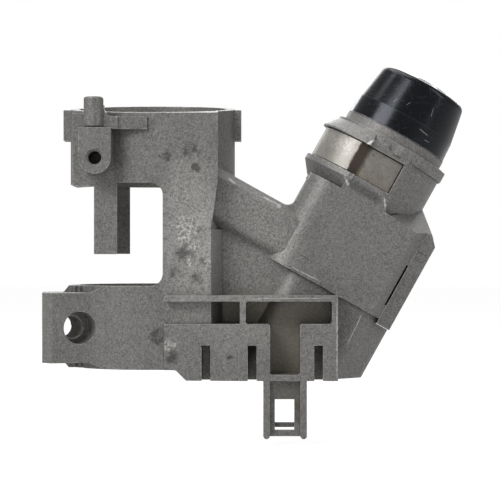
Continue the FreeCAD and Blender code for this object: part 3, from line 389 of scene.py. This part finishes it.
def casting_material():
    """Die-cast alloy, blasted to a fine speckle: worn pale on edges and smudged where it was handled, with painted
    highlights along edges and down the spine, painted light on the recessed web and painted shade in inner
    corners.
    """
    paint = Paint("die_cast_alloy")
    broad = paint.noise(45, 3, 0.6)
    patch = paint.noise(190, 4, 0.65)
    fine = paint.noise(1100, 3, 0.7)
    grain = paint.noise(2300, 2, 0.6)
    ragged = paint.wavering(380, 5.0 * MM)
    trembling = paint.wavering(900, 0.5 * MM)

    # Marks lie on the front only, and not inside the column's bore.
    depth = paint.along_y()
    from_axis = paint.vector("LENGTH", paint.vector("MULTIPLY", paint.place, (1, 1, 0)), output="Value")
    front = depth.fall(*in_metres(FRONT_FACE)) * from_axis.rise(*in_metres(BORE_EDGE))
    smudge = paint.spots(ragged, SMUDGES, 0.55)
    rub = paint.spots(ragged, RUBS, 0.6)
    edge_highlights = paint.streaks(trembling, EDGE_HIGHLIGHT_LINES)
    dark = paint.streaks(trembling, DARK_AND_SHADE_LINES)

    level = 1 + broad.swing(0.3) + patch.swing(0.3) + fine.swing(1.5) + grain.swing(2.0)
    # A painted highlight down the spine.
    spine = paint.spot(paint.place, seen(*SPINE_HIGHLIGHT), 9.5 * MM, 0.45, (1, 0.3, 0.36))
    # Painted light lifts the recessed web and channel.
    web_light = paint.spot(paint.place, seen(*WEB_LIGHT), 19 * MM, 0.35, (1, 0.5, 0.62))
    level = level * (1 + spine * 0.5 + web_light * 0.32) * (1 - (dark * front).held() * 0.45)
    level = level * (1 - (smudge * front * (patch * 6 - 2.35)).held() * 0.62)
    level = level + (rub * front * (fine * 5 - 2.1)).held() * 1.5

    # A dark seam runs round the foot of the cap.
    seam_up = paint.lock_distance(LOCK_UP) - SEAM_HEIGHT * MM
    seam = seam_up.near(0.12 * MM, 0.4 * MM) * paint.lock_distance(LOCK_ACROSS).near(*in_metres(SEAM_REACH))
    level = level * (1 - seam * 0.8)

    worn = (paint.edges(0.6 * MM) * 2.4 - 0.74 + fine.swing(1.6) + patch.swing(1.4)).held()
    # Painted highlight lines along edges join the worn edges, so both take the pale colour.
    worn = (worn * 0.75 + (edge_highlights * front * (fine * 3 - 0.7)).held()).held()
    # Painted shade in inner corners, which also makes them a little rougher.
    corner_shade = (paint.edges(1.1 * MM, False) * 1.7 - 0.35 + patch.swing(0.6)).held()
    base = paint.tinted(level * CASTING_LEVEL * (1 - corner_shade * 0.6), 0.025)

    # The floor behind the T-shaped opening is warmer, and the latch leg is stained.
    sheltered = paint.spots(paint.place, SHELTERED, 0.3, (1, 0.4, 1))
    sheltered = (sheltered * depth.rise(*in_metres(SHELTERED_DEPTH))).held()
    stained = paint.spots(ragged, STAINS, 0.4, (1, 0.8, 1))
    base = paint.mixed(sheltered * 0.75, base, paint.mixed(fine, FLOOR_DIRT, FLOOR_PALE))
    base = paint.mixed((stained * 0.42).held(), base, STAIN_BROWN)
    base = paint.mixed(worn, base, grey(0.52, 0.02))
    return paint.finish(
        Base_Color=base,
        Metallic=0.35,
        Roughness=0.5 + fine.swing(0.3) - worn * 0.16 + corner_shade * 0.1 - (rub * front).held() * 0.1,
        Normal=paint.bumped(fine * 0.5 + grain * 0.5, 0.5, 0.2 * MM, paint.rounded(0.3 * MM)),
    )


def metal_material(name, level, roughness, warm, grain, metallic=0.9):
    """Plain steel, brass, copper or alloy with a directional grain."""
    paint = Paint(name)
    brushed = paint.noise(1, 3, 0.6, place=paint.stretched(grain))
    cloud = paint.noise(90)
    tone = brushed.swing(0.5) + cloud.swing(0.4) + 0.5
    base = paint.ramp(tone, (0.2, grey(level * 0.78, warm)), (0.8, grey(level * 1.18, warm)))
    worn = (paint.edges(0.4 * MM) * 2 - 0.6).held()
    base = paint.mixed(worn * 0.5, base, grey(min(0.8, level * 1.6), warm))
    return paint.finish(
        Base_Color=base,
        Metallic=metallic,
        Roughness=roughness + brushed.swing(0.15),
        Normal=paint.bumped(brushed, 0.1, 0.05 * MM, paint.rounded(0.15 * MM)),
    )


def moulded_material(name, level, warm=0.0, roughness=0.5):
    """Plain moulded plastic."""
    paint = Paint(name)
    grain = paint.noise(900, 3, 0.6)
    tone = paint.noise(60).swing(0.6) + 0.5
    return paint.finish(
        Base_Color=paint.ramp(tone, (0.2, grey(level * 0.85, warm)), (0.8, grey(level * 1.15, warm))),
        Roughness=roughness + grain.swing(0.12),
        Normal=paint.bumped(grain, 0.15, 0.06 * MM, paint.rounded(0.15 * MM)),
    )


def sleeve_material():
    """Warm satin steel of the guard sleeve: blotched on its round part, which has a painted highlight and painted
    shade, stained on the flat.
    """
    paint = Paint("guard_sleeve_steel")
    brushed = paint.noise(1, 3, 0.6, place=paint.stretched((1400, 1400, 90), LOCK_TURN))
    cloud = paint.noise(150, 5, 0.7)
    fine = paint.noise(900, 3, 0.7)
    ragged = paint.wavering(500, 1.6 * MM)
    ragged_across = paint.lock_distance(LOCK_ACROSS, ragged)
    flat = paint.lock_distance(LOCK_ACROSS).rise(*in_metres(SLEEVE_FLAT))

    # A dark strip parts the round side from the flat: painted shade of the step between them, with brown dirt.
    strip = ragged_across.rise(*in_metres(SLEEVE_STRIP_START)) * ragged_across.fall(*in_metres(SLEEVE_STRIP_END))
    # Painted shade on the round side beside the strip, and a painted highlight further round.
    shaded = ragged_across.rise(*in_metres(SLEEVE_SHADED))
    sleeve_highlight = paint.spot(ragged, lock_point(-16.0, -17, -13.0), 3.4 * MM, 0.6, (1, 0.4, 1))
    specks = (paint.noise(520, 2, 0.5) - 0.64).held() * 9
    level = 1 + brushed.swing(0.4) + cloud.swing(0.9) + fine.swing(0.7)
    level = level * (1 - shaded * 0.38) * (1 + flat * 0.3)
    level = level + sleeve_highlight * (fine * 2.4 - 0.6).held() * 0.5
    level = level * (1 - (specks * flat).held() * 0.6) * (1 - strip * 0.62)
    yellow = flat * paint.lock_distance(LOCK_UP).fall(*in_metres(SLEEVE_YELLOWED)) * (cloud * 1.6 - 0.2).held()
    base = paint.mixed(yellow * 0.35, paint.tinted(level * 0.31, 0.05), SLEEVE_YELLOW)
    return paint.finish(
        Base_Color=paint.mixed(strip * 0.5, base, SLEEVE_DIRT_AND_SHADE),
        Metallic=0.8,
        Roughness=0.46 + cloud.swing(0.3) + strip * 0.15,
        Normal=paint.bumped(brushed * 0.5 + fine * 0.5, 0.2, 0.08 * MM, paint.rounded(0.2 * MM)),
    )


def cap_material():
    """Polished black moulding: fine lines along its axis, scuffs on its shoulder and a few pale scratches."""
    paint = Paint("cap_gloss_black")
    cloud = paint.noise(60, 4, 0.6)
    lines = paint.noise(1, 4, 0.75, 0.3, paint.stretched((1500, 1500, 45), LOCK_TURN))
    scuffs = paint.noise(1, 4, 0.75, 0.4, paint.stretched((240, 240, 900), LOCK_TURN))
    up = paint.lock_distance(LOCK_UP)
    scratch = paint.streaks(paint.wavering(700, 0.35 * MM), CAP_SCRATCHES)
    scratch = scratch * paint.along_y().fall(*in_metres(CAP_FRONT))
    shoulder = up.rise(*in_metres(CAP_SHOULDER))
    kink = (up - CAP_KINK * MM).near(0.1 * MM, 0.5 * MM) * (cloud * 1.8 - 0.45).held()
    worn = ((scuffs - 0.56).held() * 3 + (lines - 0.58).held() * 3.5 + kink * 0.4).held()
    base = paint.mixed(worn * (0.4 + shoulder * 0.5), grey(0.004, -0.12), grey(0.08, -0.1))
    return paint.finish(
        Base_Color=paint.mixed(scratch.held() * 0.6, base, grey(0.3, 0.02)),
        Roughness=0.21 + cloud.swing(0.12) + lines.swing(0.22) + worn * 0.12,
        Normal=paint.bumped(lines * 0.6 + cloud * 0.4, 0.08, 0.12 * MM),
        Specular_IOR_Level=0.27,
        Specular_Tint=CAP_SHEEN,
    )


def ring_material():
    """Polished key ring: mirror-like, with dark lines along its edges and fine wear."""
    paint = Paint("key_ring_chrome")
    cloud = paint.noise(300)
    scratches = paint.noise(1, 3, 0.7, 0.2, paint.stretched((2500, 2500, 300), LOCK_TURN))
    shade = (paint.edges(1.2 * MM) * 2.2 - 0.5).held()
    level = 0.62 + cloud.swing(0.3) + scratches.swing(0.3)
    return paint.finish(
        Base_Color=paint.mixed(shade * 0.9, paint.tinted(level, 0.0), grey(0.03)),
        Metallic=1.0,
        Roughness=0.1 + cloud.swing(0.06) + scratches.swing(0.1),
    )


casting = casting_material()
plain_steel = metal_material("plain_steel", 0.42, 0.34, 0.015, (500, 500, 90))
bright_steel = metal_material("ground_steel", 0.52, 0.26, 0.01, (900, 120, 900))
spring_steel = metal_material("spring_wire", 0.3, 0.3, 0.01, (700, 700, 700))
brass = metal_material("turned_brass", 0.5, 0.3, 0.25, (200, 200, 900))
thread_alloy = metal_material("cut_thread", 0.66, 0.45, 0.03, (300, 300, 300), 0.2)
lock_alloy = metal_material("lock_alloy", 0.45, 0.4, 0.01, (200, 200, 700), 0.8)
copper = metal_material("enamelled_copper", 0.36, 0.35, 0.5, (60, 60, 3000))
black_moulding = moulded_material("switch_black", 0.022)
pale_moulding = moulded_material("pale_moulding", 0.5, 0.08)

finishes = {
    "housing": casting,
    "side_cover": casting,
    "guard_sleeve": sleeve_material(),
    "cap_shell": cap_material(),
    "coil_bobbin": pale_moulding,
    "coil_winding": copper,
    "face_ring": ring_material(),
    "lock_barrel": lock_alloy,
    "barrel_latch": plain_steel,
    "plug": bright_steel,
    "tumblers": brass,
    "key_shutter": bright_steel,
    "shutter_pin": plain_steel,
    "plug_clip": plain_steel,
    "drive_shaft": plain_steel,
    "return_spring": spring_steel,
    "lock_cam": plain_steel,
    "bolt_yoke": plain_steel,
    "lock_bolt": bright_steel,
    "bolt_spring": spring_steel,
    "cover_pins": plain_steel,
    "switch_housing": black_moulding,
    "switch_rotor": pale_moulding,
    "rotor_contacts": copper,
    "terminals": brass,
    "switch_base": black_moulding,
    "switch_screws": plain_steel,
}
for name, material in finishes.items():
    nodes[name].data.materials.clear()
    nodes[name].data.materials.append(material)


def working_spring():
    """The bolt spring as a welded copy, fixed to the casting in place of the original."""
    only(nodes["bolt_spring"])
    bpy.ops.object.duplicate()
    piece = bpy.context.object
    piece.name = "bolt_spring_coil"
    only(piece)
    bpy.ops.object.mode_set(mode="EDIT")
    bpy.ops.mesh.select_all(action="SELECT")
    bpy.ops.mesh.remove_doubles(threshold=0.001 * MM)
    bpy.ops.object.mode_set(mode="OBJECT")
    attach(piece, "casting")
    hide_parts("bolt_spring")
    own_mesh(piece)


def clamp_thread():
    """Ridges of the thread in the rear ear's hole, standing just inside the bore."""
    deselect()
    bpy.ops.mesh.primitive_circle_add(vertices=3, radius=THREAD_RIDGE * MM, location=(THREAD_RADIUS * MM, 0, 0))
    piece = bpy.context.object
    piece.name = "clamp_thread"
    piece.rotation_euler = (math.radians(90), 0, 0)
    bpy.ops.object.transform_apply(location=True, rotation=True)
    screw = piece.modifiers.new("turns", "SCREW")
    screw.axis = "Z"
    screw.angle = 2 * math.pi
    screw.screw_offset = THREAD_PITCH * MM
    screw.iterations = THREAD_TURNS
    screw.steps = THREAD_STEPS
    screw.render_steps = THREAD_STEPS
    screw.use_normal_calculate = True
    bpy.ops.object.modifier_apply(modifier="turns")
    deep = Vector((-math.sin(CLAMP_HOLE_TURN), math.cos(CLAMP_HOLE_TURN), 0))
    piece.rotation_euler = (math.radians(-90), 0, CLAMP_HOLE_TURN)
    piece.location = CLAMP_HOLE_MOUTH + deep * (THREAD_START * MM)
    bpy.ops.object.transform_apply(location=True, rotation=True)
    bpy.ops.object.mode_set(mode="EDIT")
    bpy.ops.mesh.select_all(action="SELECT")
    bpy.ops.mesh.normals_make_consistent(inside=False)
    bpy.ops.object.mode_set(mode="OBJECT")
    piece.data.materials.append(thread_alloy)
    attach(piece, "casting")


def studio_floor():
    """A floor that looks white to the camera and still takes the part's shadow."""
    deselect()
    bpy.ops.mesh.primitive_plane_add(size=FLOOR_SIZE, location=(0, 0, FLOOR_HEIGHT * MM))
    floor = bpy.context.object
    floor.name = "floor"
    bpy.ops.object.transform_apply(location=True)
    paint = Paint("floor_white")
    camera_ray = paint.node("ShaderNodeLightPath", {}, {}, "Is Camera Ray")
    glossy_ray = paint.node("ShaderNodeLightPath", {}, {}, "Is Glossy Ray")
    matt = paint.node("ShaderNodeBsdfDiffuse", {}, {"Color": grey(0.55)})
    glow = paint.node("ShaderNodeEmission", {}, {"Color": grey(1.0), "Strength": FLOOR_GLOW})
    share = camera_ray * 0.78 + glossy_ray * 0.3
    floor.data.materials.append(paint.close(paint.node("ShaderNodeMixShader", {}, {0: share, 1: matt, 2: glow})))


def studio_world():
    """A world that is white to the camera and lights the part less than that."""
    world = bpy.data.worlds.new("studio")
    bpy.context.scene.world = world
    world.use_nodes = True
    tree = world.node_tree
    tree.nodes.clear()
    path = tree.nodes.new("ShaderNodeLightPath")
    mix = tree.nodes.new("ShaderNodeMix")
    mix.data_type = "FLOAT"
    mix.inputs[2].default_value = WORLD_LIGHT
    mix.inputs[3].default_value = 1.0
    tree.links.new(path.outputs["Is Camera Ray"], mix.inputs[0])
    back = tree.nodes.new("ShaderNodeBackground")
    back.inputs["Color"].default_value = (1, 1, 1, 1)
    tree.links.new(mix.outputs[0], back.inputs["Strength"])
    output = tree.nodes.new("ShaderNodeOutputWorld")
    tree.links.new(back.outputs[0], output.inputs["Surface"])


def studio_lamps():
    for name, place, width, height, power in LAMPS:
        light = bpy.data.lights.new(name, "AREA")
        light.shape = "RECTANGLE"
        light.size = width
        light.size_y = height
        light.energy = power
        lamp = bpy.data.objects.new(name, light)
        bpy.context.scene.collection.objects.link(lamp)
        lamp.location = place
        lamp.rotation_euler = (Vector(LAMP_AIM) - Vector(place)).to_track_quat("-Z", "Y").to_euler()


def studio_camera():
    camera = bpy.data.cameras.new("camera")
    camera.sensor_width = SENSOR_WIDTH
    camera.lens = FOCAL_LENGTH
    camera.clip_start = 0.01
    camera.clip_end = 50
    viewer = bpy.data.objects.new("camera", camera)
    bpy.context.scene.collection.objects.link(viewer)
    viewer.location = CAMERA_PLACE
    viewer.rotation_euler = (math.radians(90), 0, 0)
    bpy.context.scene.camera = viewer
    bpy.context.scene.view_settings.view_transform = "Standard"


working_spring()
clamp_thread()
studio_floor()
studio_world()
studio_lamps()
studio_camera()
